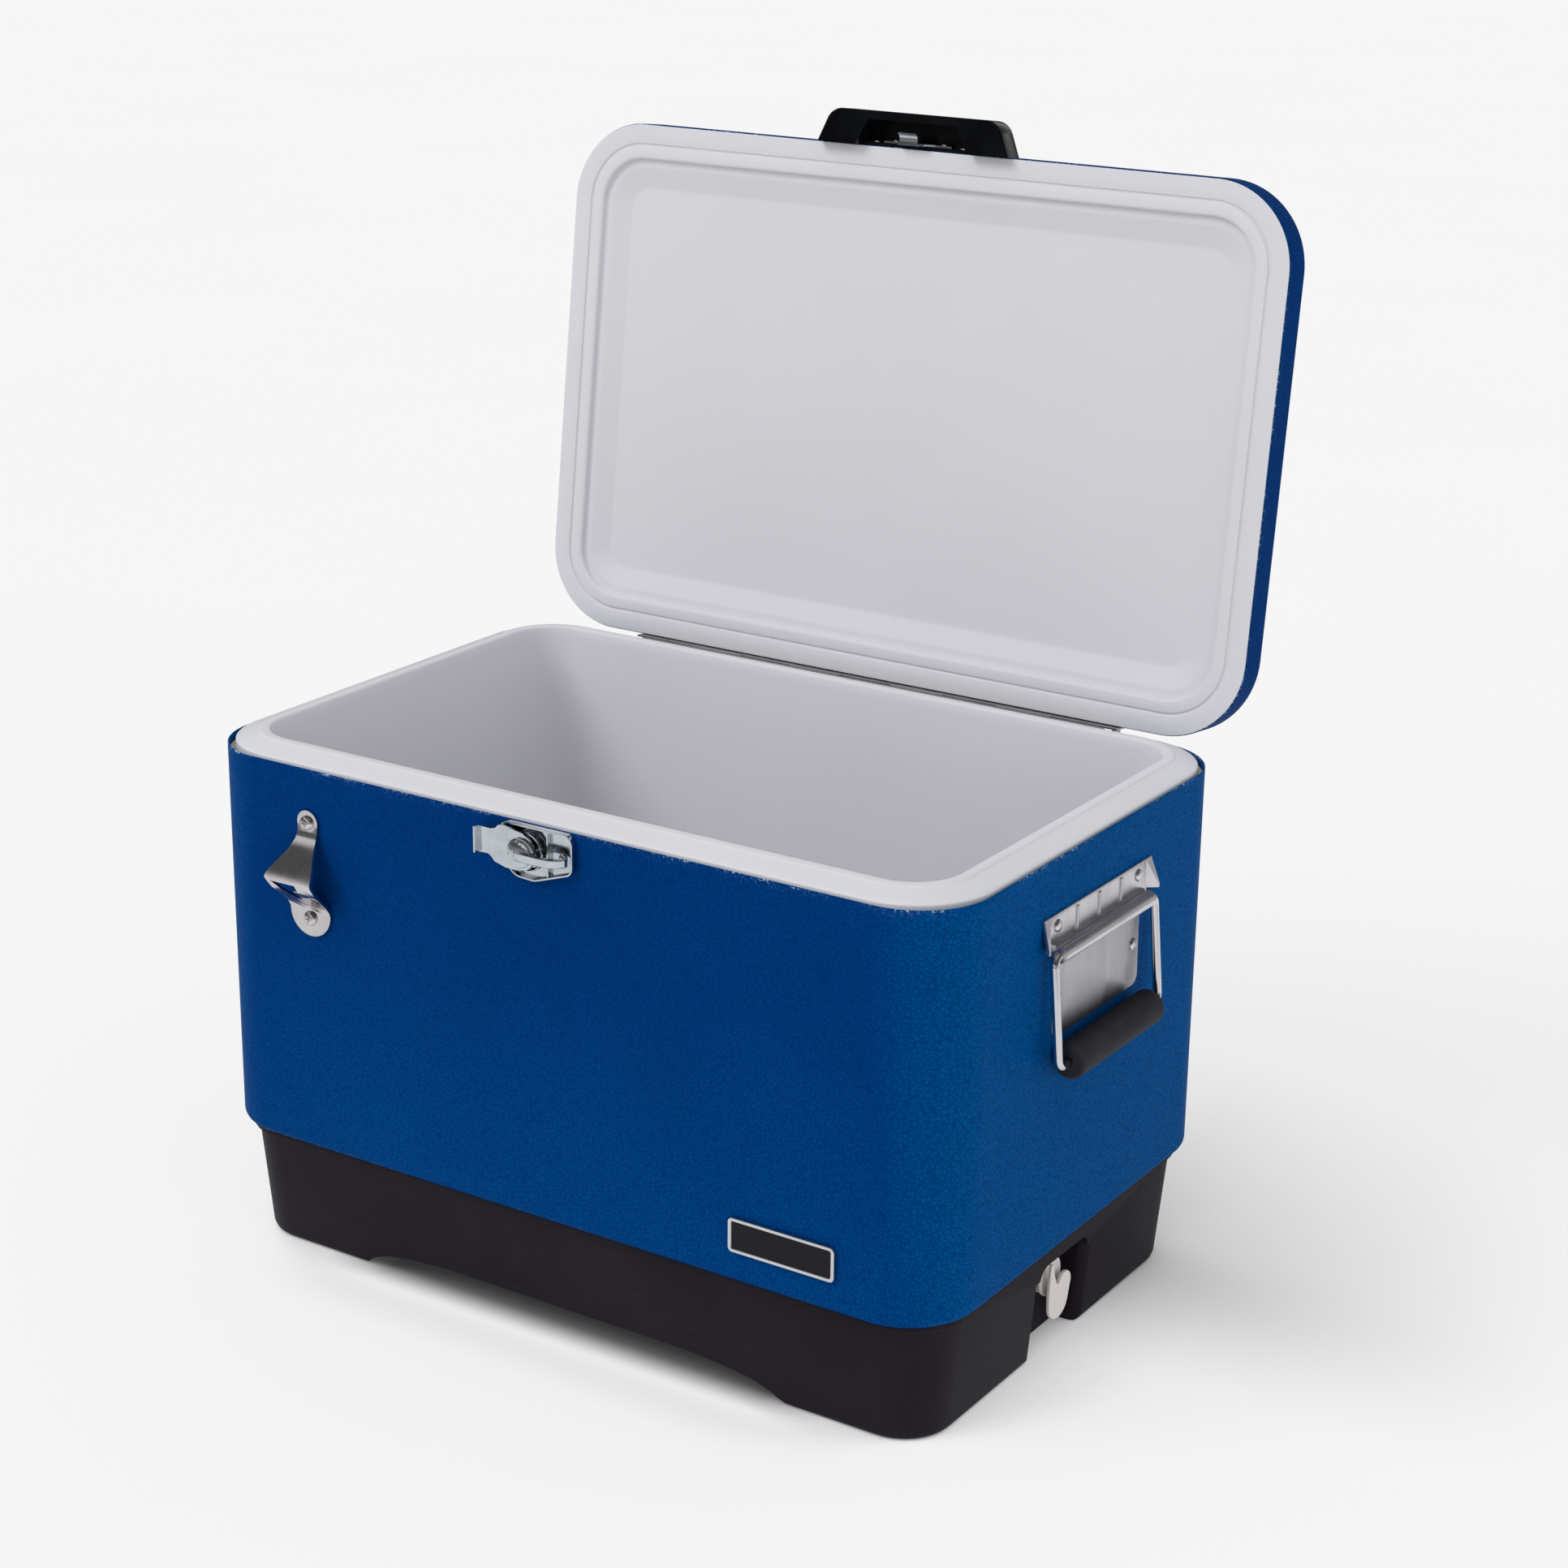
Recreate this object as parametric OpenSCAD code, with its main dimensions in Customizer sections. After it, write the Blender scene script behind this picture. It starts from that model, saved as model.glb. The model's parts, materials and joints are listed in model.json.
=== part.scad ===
// Steel-belted picnic cooler chest with its lid open on the hinge stop.
// Millimetres, +Z up, front at -Y, drain end at +X.
// The origin is the centre of the base's flat underside, on the floor.

/* [Steel belt] */
// Length of the steel belt
shell_l = 600; // [560:1:640]
// Depth of the steel belt, front to back
shell_w = 386; // [360:1:410]
// Height of the steel belt
shell_h = 283; // [260:1:300]
// Radius of the belt's vertical corners
corner_r = 52; // [45:1:58]
// Steel thickness
steel_t = 1; // [0.8:0.1:1.2]

/* [Base pan] */
// Height of the black base below the belt
base_h = 88; // [84:1:96]
// Height of the hand scoops under the front and back
arch_h = 18; // [12:1:20]
// Half length of each hand scoop
arch_half = 177; // [150:1:190]
// How far each hand scoop runs in from the wall
arch_in = 52; // [40:1:60]
// Width of the drain recess
recess_w = 66; // [60:1:72]
// Height of the drain recess
recess_h = 70; // [66:1:75]
// Wall of the base pan
pan_t = 4; // [3:0.5:4.5]

/* [Liner] */
// Height of the white rim above the belt
rim_h = 8; // [7:0.5:9]
// Width of the rim from the belt's outside to the opening
rim_w = 26; // [24:1:28]
// Height of the liner's floor
floor_z = 31; // [30:0.5:34]
// Wall of the liner
liner_t = 3; // [2.5:0.5:3.5]

/* [Lid] */
// Length of the lid
lid_l = 595; // [590:1:600]
// Depth of the lid, front to back
lid_w = 386; // [384:1:386]
// Thickness of the lid at its edge
lid_t = 29; // [27:1:34]
// Radius of the lid's corners
lid_r = 60; // [55:1:64]
// Angle at which the hinge stops hold the lid, from closed
lid_open = 97; // [95:1:99]
// Depth of the lid's central recess
lid_recess = 9; // [7:1:11]

/* [Hinge] */
// Length of the hinge between its stop ears
hinge_l = 400; // [360:10:440]
// Radius of the hinge knuckles
knuckle_r = 2.5; // [2.4:0.1:2.6]
// Radius of the hinge pin
hinge_pin_r = 1.3; // [1.2:0.1:1.4]

/* [Latch] */
// Place of the latch pivot along the front
latch_x = -11; // [-8:0.5:-6]
// Drop of the latch pivot below the belt's top edge
latch_drop = 18.5; // [18:0.5:19]
// Reach of the latch hook from its pivot
hook_reach = 33; // [32.5:0.5:33.5]

/* [Side handles] */
// Height of the bail pivots above the floor
bail_z = 309; // [300:1:315]
// Distance from the bail pivot to the middle of the grip
bail_drop = 73.8; // [70:0.2:76]
// Radius of the bail wire
wire_r = 3; // [2.8:0.1:3.2]
// Radius of the grip
grip_r = 12; // [11:0.5:12]
// Length of the grip
grip_l = 114; // [108:1:116]

/* [Hidden] */

// Working gap between pieces of one body
gap = 0.15;
// Radial clearance of a running fit
run_fit = 0.05;
// Facets of a full turn on the small round pieces
round_fn = 48;
// Overlap that makes a cut run clean through
eps = 1;

half_l = shell_l / 2;
half_w = shell_w / 2;
belt_top = base_h + shell_h;
rim_top = belt_top + rim_h;
lid_z = rim_top + 0.5;
axis_y = half_w + 2.9;
axis_z = belt_top - 1.8;
lid_back = half_w;
lid_front = lid_back - lid_w;

// ---- outlines and lofts with rounded corners ----

// Steps round one quarter turn of a corner
corner_steps = 10;
// Points in one ring
ring_n = 4 * (corner_steps + 1);

function corner_side(quarter) = (quarter == 0 || quarter == 3) ? 1 : -1;
function ring(l, w, r, z) =
    [for (quarter = [0:3])
        for (i = [0:corner_steps])
            let (a = quarter * 90 + i * 90 / corner_steps)
            [corner_side(quarter) * (l / 2 - r) + r * cos(a),
             (quarter < 2 ? 1 : -1) * (w / 2 - r) + r * sin(a),
             z]];

// A closed solid through sections of [height, inset from the belt, corner radius]
module loft(sections, l = shell_l, w = shell_w) {
    last = len(sections) - 1;
    points = [for (s = sections) each ring(l - 2 * s[1], w - 2 * s[1], s[2], s[0])];
    sides = [for (k = [0:last - 1])
                 for (i = [0:ring_n - 1])
                     let (j = (i + 1) % ring_n)
                     [k * ring_n + i, (k + 1) * ring_n + i,
                      (k + 1) * ring_n + j, k * ring_n + j]];
    floor_face = [for (i = [0:ring_n - 1]) i];
    roof_face = [for (i = [ring_n - 1:-1:0]) last * ring_n + i];
    polyhedron(points, concat([floor_face, roof_face], sides), convexity = 4);
}

// A straight prism with rounded corners, inset from the belt's outline
module slab(z, h, inset, r) {
    translate([0, 0, z])
        linear_extrude(h)
            polygon([for (p = ring(shell_l - 2 * inset, shell_w - 2 * inset, r, 0)) [p[0], p[1]]]);
}

// A cylinder along +X, +Y or -Y from a point
module rod_x(at, r, len) { translate(at) rotate([0, 90, 0]) cylinder(r = r, h = len, $fn = round_fn); }
module rod_y(at, r, len) { translate(at) rotate([-90, 0, 0]) cylinder(r = r, h = len, $fn = round_fn); }
module rod_front(at, r, len) { translate(at) rotate([90, 0, 0]) cylinder(r = r, h = len, $fn = round_fn); }

// A domed fastener standing on z = 0 with its head up and its shank down
module fastener(head_r, head_h, shank_r, shank_l) {
    rotate_extrude($fn = round_fn)
        polygon([[0, -shank_l], [shank_r, -shank_l], [shank_r, 0], [head_r, 0],
                 [head_r, head_h * 0.35], [head_r * 0.86, head_h * 0.66],
                 [head_r * 0.55, head_h * 0.92], [0, head_h]]);
}

// ---- base pan ----

// How far the lip under the belt and the tapering wall stand in from the belt
lip_in = 6.6;
neck_in = 7.8;
wall_top_in = 10.2;
wall_low_in = 17;
lip_h = 5;
flange_top = base_h + 8;
drain_z = 49;
recess_x = half_l - 36;
scoop_side = 1.5;

// Profile of a hand scoop, grown by a wall thickness
function scoop_outline(grow) =
    let (h = arch_h + grow, e = arch_half + grow)
    [[-e - scoop_side, -eps], [e + scoop_side, -eps], [e, h * 0.12], [e - 9, h * 0.42],
     [e - 22, h * 0.68], [e - 42, h * 0.86], [e - 74, h], [-e + 74, h], [-e + 42, h * 0.86],
     [-e + 22, h * 0.68], [-e + 9, h * 0.42], [-e, h * 0.12]];

module hand_scoops(grow) {
    for (side = [-1, 1])
        translate([0, side * half_w, 0])
            rotate([90, 0, 0])
                translate([0, 0, side > 0 ? 0 : -(arch_in + grow + wall_low_in)])
                    linear_extrude(arch_in + grow + wall_low_in)
                        polygon(scoop_outline(grow));
}

// Radius that the recess flares out to the wall with, and how far the wall leans per unit
flare_r = 9;
wall_lean = (wall_low_in - wall_top_in) / (base_h - lip_h - 5.4);
flare_x = half_l - wall_low_in - 0.4 - flare_r + 0.6;

// Plan of the recess's mouth, flaring out to the leaning wall
function mouth_side(side, grow) =
    concat([[flare_x - 4, side * (recess_w / 2 + grow)]],
           [for (i = [0:6]) let (a = i * 15, r = flare_r - grow)
                [flare_x + r * sin(a), side * (recess_w / 2 + flare_r - r * cos(a))]],
           [[flare_x + 40, side * (recess_w / 2 + flare_r)]]);

module drain_recess(grow) {
    half = recess_w / 2 + grow;
    top = recess_h + grow;
    r = 9 + grow;
    arc = [for (i = [0:6]) [r * cos(i * 15), r * sin(i * 15)]];
    front = mouth_side(-1, grow);
    back = mouth_side(1, grow);
    translate([recess_x - grow, 0, 0])
        rotate([90, 0, 90])
            linear_extrude(60)
                polygon(concat([[half, -eps]], [for (p = arc) [half - r + p[0], top - r + p[1]]],
                               [for (i = [6:-1:0]) [-half + r - arc[i][0], top - r + arc[i][1]]],
                               [[-half, -eps]]));
    multmatrix([[1, 0, wall_lean, 0], [0, 1, 0, 0], [0, 0, 1, 0]])
        translate([0, 0, -eps])
            linear_extrude(top - r + eps)
                polygon(concat(front, [for (i = [len(back) - 1:-1:0]) back[i]]));
}

module pan_cavity(shrink) {
    difference() {
        loft([[pan_t + shrink, 25 + shrink, 28], [22, 21 + shrink, 32],
              [base_h - lip_h, wall_top_in + pan_t + shrink, 38],
              [base_h - lip_h + 3, neck_in + pan_t + shrink, 40],
              [flange_top + eps, neck_in + pan_t + shrink, 40]]);
        hand_scoops(pan_t + shrink);
        drain_recess(pan_t + shrink);
    }
}

module base_pan() {
    color("#26222a")
        difference() {
            loft([[-eps, 23.6, 29.6], [0.6, 19.8, 33.4], [2, 18.2, 35], [5, wall_low_in, 36],
                  [base_h - lip_h - 0.4, wall_top_in, 42], [base_h - lip_h, lip_in + 0.7, 44.7],
                  [base_h - lip_h + 0.8, lip_in, 45.4], [base_h - 1, lip_in, 45.4],
                  [base_h - 0.35, lip_in + 0.6, 44.8], [base_h - 0.3, neck_in, 44.2],
                  [flange_top, neck_in, 44.2]]);
            pan_cavity(0);
            hand_scoops(0);
            drain_recess(0);
            translate([-half_l, -half_w, -20])
                cube([shell_l, shell_w, 20]);
            rod_x([recess_x - 10, 0, drain_z], 10.3, 20);
        }
}

// ---- steel belt, foam and liner ----

// Holes for the fasteners that pass through the belt's four sides
module belt_holes(grow) {
    for (x = hinge_rivet_x)
        rod_y([x, half_w - 8, hinge_rivet_z], 2 + grow, 10);
    for (x = latch_rivet_x)
        rod_front([x, -half_w + 8, latch_z], 2 + grow, 10);
    rod_front([latch_x, -half_w + 9, latch_z], 4.6 + grow, 11);
    for (z = opener_z)
        rod_front([opener_x, -half_w + 14, z], 2.1 + grow, 16);
    for (side = [-1, 1])
        for (p = bracket_rivets_at)
            rod_x([side * half_l - 8, p[0], p[1]], 2.4 + grow, 16);
}

module body_shell() {
    color("#0a4890")
        difference() {
            loft([[base_h, 6, 46], [base_h + 1.6, 2.6, 49.4], [base_h + 6, 0, corner_r],
                  [belt_top, 0, corner_r]]);
            loft([[base_h - eps, 7.4, 44.6], [base_h + 2.3, 3.4, 48.6],
                  [base_h + 6.6, steel_t, corner_r - steel_t],
                  [belt_top + eps, steel_t, corner_r - steel_t]]);
            belt_holes(gap);
        }
}

foam_top = belt_top - 3;
tub_r = 36;
// Skirt under the rim that hangs inside the belt
skirt_h = 3;
skirt_in = 5.6;
skirt_r = 53;

module tub_outside(grow) {
    loft([[floor_z - liner_t - grow, 52 - grow, 28], [floor_z + 1, 47 - grow, 32],
          [floor_z + 8, 44 - grow, tub_r + 1], [foam_top + 2, 25 - grow, tub_r]]);
}

module tub_inside() {
    loft([[floor_z, 54, 26], [floor_z + 3, 50, 30], [floor_z + 10, 47, 34],
          [belt_top + 1, rim_w + 2, 33], [rim_top - 2, rim_w + 1, 33.5],
          [rim_top - 0.6, rim_w, 34], [rim_top + eps, rim_w - 1, 35]]);
}

// Flat seat for the drain's flange and gasket on the liner's end wall
seat_x = half_l - 50;
seat_r = 17;

module body_foam() {
    color("#e8e2c8")
        difference() {
            union() {
                pan_cavity(gap);
                slab(flange_top + gap, foam_top - skirt_h - flange_top - 2 * gap, steel_t + gap,
                     corner_r - steel_t - gap);
                slab(foam_top - skirt_h - 1, skirt_h + 1, skirt_in + gap, skirt_r - gap);
            }
            tub_outside(0.1);
            rod_x([seat_x - 4, 0, drain_z], seat_r + gap, 12);
            rod_x([seat_x, 0, drain_z], 10.3, 60);
            belt_holes(1);
        }
}

module liner_tub() {
    color("#eceae6")
        difference() {
            union() {
                difference() {
                    loft([[foam_top - skirt_h, 2.6, 56], [belt_top + 1.2, 2.6, 56],
                          [belt_top + 2, 3.4, 55], [belt_top + 6.5, 18, 43],
                          [rim_top - 0.6, 18.5, 42.5], [rim_top, 19.3, 42]]);
                    loft([[foam_top - skirt_h - eps, skirt_in, skirt_r],
                          [foam_top + gap, skirt_in, skirt_r]]);
                }
                tub_outside(0);
                rod_x([seat_x, 0, drain_z], seat_r, 7);
            }
            tub_inside();
            translate([seat_x - 30, -seat_r, drain_z - seat_r])
                cube([30, 2 * seat_r, 2 * seat_r]);
            rod_x([seat_x - 2, 0, drain_z], 10.3, 20);
        }
}

// ---- drain ----

tube_r = 10;
tube_bore_r = 7.5;
tube_end = recess_x + 11;

module drain_fitting() {
    color("#e6e4df")
        translate([seat_x - 4, 0, drain_z])
            rotate([0, 90, 0])
                rotate_extrude($fn = round_fn)
                    polygon([[tube_bore_r, 0], [seat_r - 2.5, 0], [seat_r - 1, 1.2],
                             [seat_r - 1, 3], [tube_r, 3], [tube_r, tube_end - seat_x + 4],
                             [tube_bore_r, tube_end - seat_x + 4]]);
}

module drain_gasket() {
    color("#3a3a3a")
        difference() {
            rod_x([seat_x - 1, 0, drain_z], seat_r - 1.5, 1);
            rod_x([seat_x - 2, 0, drain_z], tube_r + 0.1, 3);
        }
}

module drain_nut() {
    color("#d8d6d0")
        difference() {
            union() {
                translate([recess_x + 0.1, 0, drain_z])
                    rotate([0, 90, 0])
                        cylinder(r = 15.5, h = 5.5, $fn = 6);
                rod_x([recess_x + 0.1, 0, drain_z], 15, 1.6);
            }
            rod_x([recess_x - 1, 0, drain_z], tube_r + 0.1, 10);
        }
}

cap_x = tube_end + 0.4;
tab_z = drain_z - 10;

// Finger tab: a rounded disc with a lobe on one side and a pointed ear on the other
module finger_tab(x) {
    translate([x, 0, tab_z])
        rotate([90, 0, 90])
            linear_extrude(2.4)
                polygon(concat([for (i = [0:12]) let (a = 195 + i * 13)
                                    [13.5 * cos(a), -7 + 13 * sin(a)]],
                               [for (i = [0:10]) let (a = -10 + i * 15)
                                    [8.4 + 8.4 * cos(a), 3.2 + 8.4 * sin(a)]],
                               [[-0.4, 5.6], [-3, 7], [-6.4, 14], [-8.6, 23.6], [-10.6, 24.4],
                                [-12, 20], [-13.2, 8], [-13.5, 0]]));
}

module drain_plug() {
    color("#e9e6e0") {
        translate([cap_x - 13, 0, drain_z])
            rotate([0, 90, 0])
                rotate_extrude($fn = round_fn)
                    polygon([[0, 0], [tube_bore_r - 1, 0], [tube_bore_r - run_fit, 1.5],
                             [tube_bore_r - run_fit, 5], [tube_bore_r - 1.2, 5.3],
                             [tube_bore_r - 1.2, 7.3], [tube_bore_r - run_fit, 7.6],
                             [tube_bore_r - run_fit, 13], [14.2, 13], [14.6, 13.6],
                             [14.6, 15], [13.8, 15.8], [0, 15.8]]);
        rod_x([cap_x + 2, 0, tab_z + 1], 3.6, 6);
        finger_tab(cap_x + 7);
    }
}

module plug_seal() {
    color("#303030")
        translate([cap_x - 13 + 6.3, 0, drain_z])
            rotate([0, 90, 0])
                rotate_extrude($fn = round_fn)
                    translate([tube_bore_r - 0.72, 0])
                        circle(r = 0.46, $fn = 24);
}

// ---- hinge ----

leaf_t = 1.2;
hinge_rivet_x = [-180, -110, -38, 38, 110, 180];
hinge_rivet_z = axis_z - 24;
lid_rivet_z = lid_z + 16;
knuckles = 9;
knuckle_pitch = hinge_l / knuckles;
knuckle_gap = 0.35;
ear_l = 8;

function knuckle_at(i) = -hinge_l / 2 + i * knuckle_pitch;

// Knuckles first, first + 2, ... bored for the pin
module knuckle_row(first) {
    for (i = [first:2:knuckles - 1])
        rod_x([knuckle_at(i) + knuckle_gap, axis_y, axis_z], knuckle_r,
              knuckle_pitch - 2 * knuckle_gap);
}

// Room in a leaf for the other leaf's knuckles
module knuckle_notches(first, from_z, to_z) {
    for (i = [first:2:knuckles - 1])
        translate([knuckle_at(i) - knuckle_gap, half_w - 2, from_z])
            cube([knuckle_pitch + 2 * knuckle_gap, 12, to_z - from_z]);
}

module hinge_body_leaf() {
    color("#b9bbbd")
        difference() {
            union() {
                translate([-hinge_l / 2 - ear_l, half_w, axis_z - 38])
                    cube([hinge_l + 2 * ear_l, leaf_t, 35]);
                difference() {
                    translate([-hinge_l / 2, half_w, axis_z - 4])
                        cube([hinge_l, leaf_t, 4]);
                    knuckle_notches(1, axis_z - 3, axis_z + 5);
                }
                knuckle_row(0);
                for (side = [-1, 1])
                    translate([side * (hinge_l / 2 + 4) - 1, 0, 0])
                        stop_gusset();
            }
            rod_x([-hinge_l / 2 - eps, axis_y, axis_z], hinge_pin_r, hinge_l + 2 * eps);
            for (x = hinge_rivet_x)
                rod_y([x, half_w - eps, hinge_rivet_z], 2.1, 6);
        }
}

// Arm that the open lid's leaf comes to rest on
module stop_gusset() {
    translate([2, 0, 0])
        rotate([90, 0, -90])
            linear_extrude(2)
                polygon([[-half_w - leaf_t + 0.2, axis_z - 36], [-half_w - leaf_t + 0.2, axis_z - 12],
                         [-axis_y - 7.1, axis_z + 0.54], [-axis_y - 16.1, axis_z - 0.56],
                         [-axis_y - 16.1, axis_z - 5], [-half_w - leaf_t - 3, axis_z - 36]]);
}

module hinge_pin() {
    color("#c9cbcc")
        rod_x([-hinge_l / 2 - 2, axis_y, axis_z], hinge_pin_r, hinge_l + 4);
}

module hinge_body_rivets() {
    color("#cfd0d1")
        for (x = hinge_rivet_x)
            translate([x, half_w + leaf_t, hinge_rivet_z])
                rotate([-90, 0, 0])
                    fastener(4.2, 1.7, 2, 4.5);
}

// ---- lid, drawn closed and swung open on the hinge ----

module lid_pose() {
    translate([0, axis_y, axis_z])
        rotate([-lid_open, 0, 0])
            translate([0, -axis_y, -axis_z])
                children();
}

module lid_loft(sections) {
    translate([0, lid_back - lid_w / 2, 0])
        loft(sections, lid_l, lid_w);
}

module lid_fastener_holes(grow) {
    for (x = hinge_rivet_x)
        rod_y([x, lid_back - 8, lid_rivet_z], 2 + grow, 10);
    for (x = [-handle_screw_x, -keeper_screw_x, keeper_screw_x, handle_screw_x])
        rod_front([x, lid_front + 12, lid_screw_z], 1.9 + grow, 14);
}

module lid_shell() {
    color("#0a4890")
        lid_pose()
            difference() {
                lid_loft([[lid_z + 1, 0, lid_r], [lid_z + lid_t - 6, 0, lid_r],
                      [lid_z + lid_t - 2.6, 1, lid_r - 1], [lid_z + lid_t - 0.7, 3.2, lid_r - 3],
                      [lid_z + lid_t, 7, lid_r - 7]]);
                lid_loft([[lid_z, steel_t, lid_r - steel_t],
                      [lid_z + lid_t - 6.4, steel_t, lid_r - steel_t],
                      [lid_z + lid_t - 3.4, 2, lid_r - 2], [lid_z + lid_t - 1.7, 4, lid_r - 4],
                      [lid_z + lid_t - 1, 7.4, lid_r - 7.4]]);
                lid_fastener_holes(gap);
            }
}

pocket_in = 26;

module lid_pocket(grow) {
    lid_loft([[lid_z - eps, pocket_in - grow, 38], [lid_z + 3.5 + grow, pocket_in + 1 - grow, 37],
          [lid_z + 4 + grow, pocket_in + 6 - grow, 32],
          [lid_z + lid_recess + grow, 47 - grow, 16]]);
}

module lid_foam() {
    color("#e8e2c8")
        lid_pose()
            difference() {
                lid_loft([[lid_z + 2.8, steel_t + gap, lid_r - 1.2],
                      [lid_z + lid_t - 6.5, steel_t + gap, lid_r - 1.2],
                      [lid_z + lid_t - 3.5, 2.2, lid_r - 2.2],
                      [lid_z + lid_t - 1.9, 4.2, lid_r - 4.2],
                      [lid_z + lid_t - 1.2, 7.6, lid_r - 7.6]]);
                lid_pocket(2.6);
                lid_fastener_holes(1);
            }
}

module lid_liner() {
    color("#eceae6")
        lid_pose()
            difference() {
                union() {
                    lid_loft([[lid_z, 1.2, lid_r - 1.2], [lid_z + 0.3, 0.5, lid_r - 0.5],
                              [lid_z + 0.85, 0.5, lid_r - 0.5], [lid_z + 0.9, 1.3, lid_r - 1.3],
                              [lid_z + 2.6, 1.3, lid_r - 1.3]]);
                    lid_pocket(2.5);
                }
                lid_pocket(0);
                translate([-half_l, -half_w, lid_z - 10])
                    cube([shell_l, shell_w, 10]);
            }
}

module hinge_lid_leaf() {
    color("#b9bbbd")
        lid_pose()
            difference() {
                union() {
                    difference() {
                        translate([-hinge_l / 2 - ear_l, lid_back, axis_z])
                            cube([hinge_l + 2 * ear_l, leaf_t, 34]);
                        translate([-half_l, lid_back - eps, axis_z - eps])
                            cube([shell_l, eps + gap, belt_top + 0.2 - axis_z + eps]);
                        knuckle_notches(0, axis_z - 1, axis_z + 4);
                        for (side = [-1, 1])
                            translate([side * (hinge_l / 2 + 10) - 10.4, half_w - 2, axis_z - 1])
                                cube([20.8, 4, 5]);
                    }
                    knuckle_row(1);
                }
                rod_x([-hinge_l / 2 - eps, axis_y, axis_z], hinge_pin_r + run_fit,
                      hinge_l + 2 * eps);
                for (x = hinge_rivet_x)
                    rod_y([x, lid_back - eps, lid_rivet_z], 2.1, 6);
            }
}

module hinge_lid_rivets() {
    color("#cfd0d1")
        lid_pose()
            for (x = hinge_rivet_x)
                translate([x, lid_back + leaf_t, lid_rivet_z])
                    rotate([-90, 0, 0])
                        fastener(4.2, 1.7, 2, 4.5);
}

// ---- lid handle and keeper ----

handle_low = lid_z - 8;
handle_high = lid_z + 14;
handle_out = 24.5;
handle_screw_x = 36;
keeper_screw_x = 20;
lid_screw_z = lid_z + 6.6;
web_t = 2.5;

// Plan of the handle: a bow with leaning ends and rounded outer corners
function bow(half_in, half_out, reach, r) =
    let (d = half_in - half_out,
         lean = atan2(d, reach),
         cx = half_in - (r * norm([reach, d]) + (reach - r) * d) / reach,
         arc = [for (i = [0:8]) let (a = 90 - i * (90 - lean) / 8)
                    [cx + r * cos(a), reach - r + r * sin(a)]])
    concat([[-half_in, 0]], [for (i = [8:-1:0]) [-arc[i][0], arc[i][1]]], arc, [[half_in, 0]]);

module bow_slab(z, h, half_in, half_out, reach, r) {
    translate([0, lid_front, z])
        mirror([0, 1, 0])
            linear_extrude(h)
                polygon(bow(half_in, half_out, reach, r));
}

module lid_handle() {
    color("#141416")
        lid_pose()
            difference() {
                hull() {
                    bow_slab(handle_low + 1.2, handle_high - handle_low - 5.4, 79, 68.5, handle_out, 13);
                    bow_slab(handle_low, 2, 77.8, 67.4, handle_out - 1, 12.4);
                    bow_slab(handle_high - 2, 2, 76.4, 66, handle_out - 2.6, 11.4);
                }
                difference() {
                    translate([0, eps, 0])
                        bow_slab(handle_low - eps, handle_high - handle_low - 3 + eps, 47, 37,
                                 handle_out - 5, 2.4);
                    translate([-60, lid_front - web_t, lid_z + 1.6])
                        cube([120, web_t + 2, 14]);
                }
                for (x = [-handle_screw_x, -keeper_screw_x, keeper_screw_x, handle_screw_x])
                    rod_front([x, lid_front + eps, lid_screw_z], 2, 5);
            }
}

module lid_handle_screws() {
    color("#c2c4c6")
        lid_pose()
            for (x = [-handle_screw_x, handle_screw_x])
                translate([x, lid_front - web_t, lid_screw_z])
                    rotate([90, 0, 0])
                        screw(3.6);
}

// Pan-head screw with a crossed slot, standing on z = 0
module screw(head_r) {
    difference() {
        fastener(head_r, head_r * 0.6, 1.8, 10);
        for (turn = [0, 90])
            rotate([0, 0, turn])
                translate([-head_r * 0.5, -0.4, head_r * 0.3])
                    cube([head_r, 0.8, head_r]);
    }
}

keeper_t = 1.5;
keeper_y = lid_front - web_t;
keeper_half = 28;

// Side profile of the keeper's tab, from its root out and curled down
module keeper_tab() {
    translate([-10.5, 0, 0])
        rotate([90, 0, 90])
            linear_extrude(15)
                polygon([[keeper_y + 0.2, handle_low + 1.6], [keeper_y - 4.6, handle_low + 1.6],
                         [keeper_y - 6.4, handle_low + 0.8], [keeper_y - 7.2, handle_low - 1],
                         [keeper_y - 8.5, handle_low - 0.9], [keeper_y - 8.8, handle_low + 1.6],
                         [keeper_y - 8, handle_low + 3.9], [keeper_y - 6, handle_low + 5.2],
                         [keeper_y - 3.4, handle_low + 5.6], [keeper_y + 0.2, handle_low + 5.6]]);
}

module latch_keeper() {
    color("#c8cccf")
        lid_pose()
            difference() {
                union() {
                    translate([-keeper_half, keeper_y - keeper_t, lid_z + 1.8])
                        cube([2 * keeper_half, keeper_t, 9]);
                    translate([-12, keeper_y - keeper_t, handle_low + 1.6])
                        cube([22, keeper_t, 9]);
                    keeper_tab();
                }
                for (x = [-keeper_screw_x, keeper_screw_x])
                    rod_front([x, keeper_y + eps, lid_screw_z], 2, 5);
            }
}

module keeper_screws() {
    color("#c2c4c6")
        lid_pose()
            for (x = [-keeper_screw_x, keeper_screw_x])
                translate([x, keeper_y - keeper_t, lid_screw_z])
                    rotate([90, 0, 0])
                        screw(3.6);
}

// ---- front latch ----

latch_z = belt_top - latch_drop;
latch_rivet_x = [-19, 17];
tray_h = 5;
stud_r = 3;
lever_y = -half_w - 7.4;
lever_t = 1.5;
latch_head_y = lever_y - lever_t;

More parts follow.
